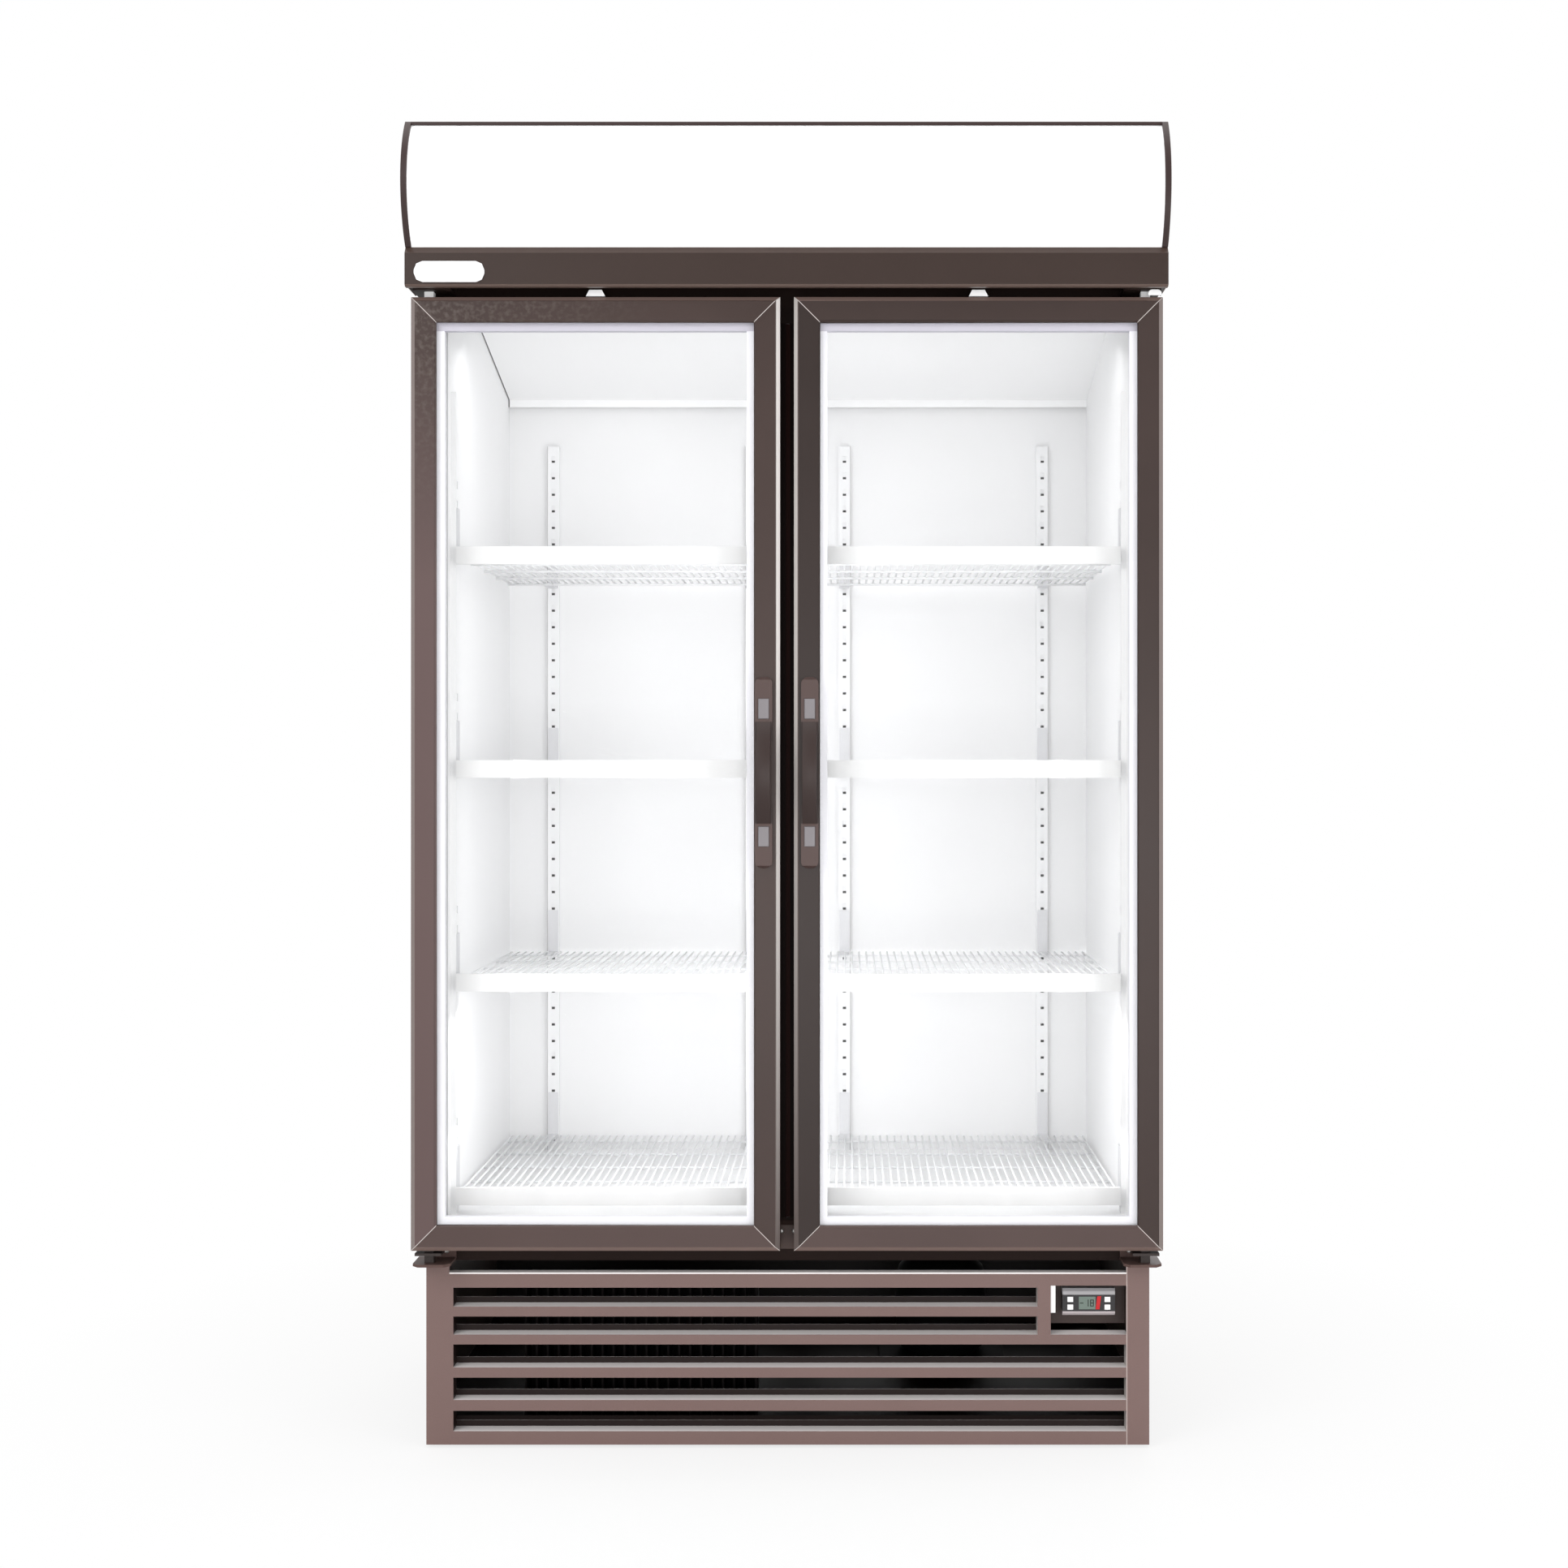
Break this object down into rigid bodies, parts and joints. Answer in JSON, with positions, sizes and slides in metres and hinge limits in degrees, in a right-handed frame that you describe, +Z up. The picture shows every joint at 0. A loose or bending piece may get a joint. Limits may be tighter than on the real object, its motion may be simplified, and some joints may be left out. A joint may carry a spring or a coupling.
{
  "type": "glass door freezer",
  "caption": "Upright display freezer with hinged glass doors, wire shelves, a curved light-box canopy over the doors and a louvred base with a temperature controller.",
  "frame": {"origin": "on the floor, under the centre of the cabinet's overall box", "axes": "+X to the right seen from the front, +Y to the back, +Z up"},
  "size_m": [1.14, 0.7, 2],
  "materials": {
    "case_paint": "satin",
    "header_paint": "satin",
    "mullion_paint": "satin",
    "mullion_foot_plastic": "satin",
    "insulation": "matte",
    "liner_white": "satin",
    "lamp_white": "gloss",
    "sign_white": "satin",
    "door_frame_paint": "satin",
    "door_glass": "gloss",
    "spacer_grey": "satin",
    "gasket_rubber": "matte",
    "handle_plastic": "satin",
    "cap_grey": "satin",
    "bush_nylon": "satin",
    "switch_white": "satin",
    "galvanised": "satin",
    "unit_black": "satin",
    "foot_plastic": "matte",
    "grille_paint": "satin",
    "bracket_brown": "satin",
    "controller_plastic": "satin",
    "button_white": "satin",
    "wire_white": "satin",
    "strip_white": "satin",
    "upright_white": "satin",
    "clip_grey": "satin",
    "fin_aluminium": "satin",
    "motor_steel": "satin",
    "fan_plastic": "satin",
    "compressor_black": "satin"
  },
  "bodies": {
    "cabinet": {"outer_case": "case_paint", "rear_panel": "case_paint", "face_frame": "case_paint", "base_side_panels": "case_paint", "rear_cover": "case_paint", "upper_hinge_plates": "case_paint", "lower_hinge_plates": "case_paint", "header_rail": "header_paint", "canopy_end_caps": "header_paint", "canopy_cover": "header_paint", "centre_mullion": "mullion_paint", "mullion_foot": "mullion_foot_plastic", "foam_core": "insulation", "inner_liner": "liner_white", "evaporator_cover": "liner_white", "interior_lamp": "lamp_white", "canopy_lamp": "lamp_white", "sign_panel": "sign_white", "door_switches": "switch_white", "condenser_shroud": "galvanised", "base_pan": "unit_black", "condenser_coil": "unit_black", "levelling_feet": "foot_plastic", "front_grille": "grille_paint", "controller_bracket": "bracket_brown", "controller_body": "controller_plastic", "floor_shelves": "wire_white", "lower_shelves": "wire_white", "middle_shelves": "wire_white", "upper_shelves": "wire_white", "shelf_front_strips": "strip_white", "rear_uprights": "upright_white", "front_uprights": "upright_white", "shelf_clips": "clip_grey", "evaporator_coil": "fin_aluminium", "evaporator_fan_motors": "motor_steel", "condenser_fan_motor": "motor_steel", "compressor": "compressor_black"},
    "left_door": {"left_door_frame": "door_frame_paint", "left_door_panes": "door_glass", "left_door_spacer": "spacer_grey", "left_door_gasket": "gasket_rubber", "left_door_handle": "handle_plastic", "left_handle_caps": "cap_grey", "left_hinge_bushes": "bush_nylon"},
    "left_evaporator_fan_rotor": {"left_evaporator_fan": "fan_plastic"},
    "right_door": {"right_door_frame": "door_frame_paint", "right_door_panes": "door_glass", "right_door_spacer": "spacer_grey", "right_door_gasket": "gasket_rubber", "right_door_handle": "handle_plastic", "right_handle_caps": "cap_grey", "right_hinge_bushes": "bush_nylon"},
    "right_evaporator_fan_rotor": {"right_evaporator_fan": "fan_plastic"},
    "condenser_fan_rotor": {"condenser_fan": "fan_plastic"},
    "left_upper_button_key": {"left_upper_button": "button_white"},
    "left_lower_button_key": {"left_lower_button": "button_white"},
    "right_upper_button_key": {"right_upper_button": "button_white"},
    "right_lower_button_key": {"right_lower_button": "button_white"}
  },
  "joints": [
    {"name": "left_door_hinge", "type": "hinge", "parent": "cabinet", "child": "left_door", "pos_m": [-0.54, -0.283, 1], "axis": [0, 0, -1], "range_deg": [0, 105]},
    {"name": "right_door_hinge", "type": "hinge", "parent": "cabinet", "child": "right_door", "pos_m": [0.54, -0.283, 1], "axis": [0, 0, 1], "range_deg": [0, 105]},
    {"name": "left_evaporator_fan_spin", "type": "hinge", "parent": "cabinet", "child": "left_evaporator_fan_rotor", "pos_m": [-0.25, -0.06054, 1.7814], "axis": [0, 0.2334, 0.9724], "continuous": true},
    {"name": "right_evaporator_fan_spin", "type": "hinge", "parent": "cabinet", "child": "right_evaporator_fan_rotor", "pos_m": [0.25, -0.06054, 1.7814], "axis": [0, 0.2334, 0.9724], "continuous": true},
    {"name": "condenser_fan_spin", "type": "hinge", "parent": "cabinet", "child": "condenser_fan_rotor", "pos_m": [-0.23, -0.125, 0.1307], "axis": [0, 1, 0], "continuous": true},
    {"name": "left_upper_button_press", "type": "slide", "parent": "cabinet", "child": "left_upper_button_key", "axis": [0, 1, 0], "range_m": [0, 0.001], "stiffness_N_per_m": 100, "springref_m": -0.001},
    {"name": "left_lower_button_press", "type": "slide", "parent": "cabinet", "child": "left_lower_button_key", "axis": [0, 1, 0], "range_m": [0, 0.001], "stiffness_N_per_m": 100, "springref_m": -0.001},
    {"name": "right_upper_button_press", "type": "slide", "parent": "cabinet", "child": "right_upper_button_key", "axis": [0, 1, 0], "range_m": [0, 0.001], "stiffness_N_per_m": 100, "springref_m": -0.001},
    {"name": "right_lower_button_press", "type": "slide", "parent": "cabinet", "child": "right_lower_button_key", "axis": [0, 1, 0], "range_m": [0, 0.001], "stiffness_N_per_m": 100, "springref_m": -0.001}
  ]
}
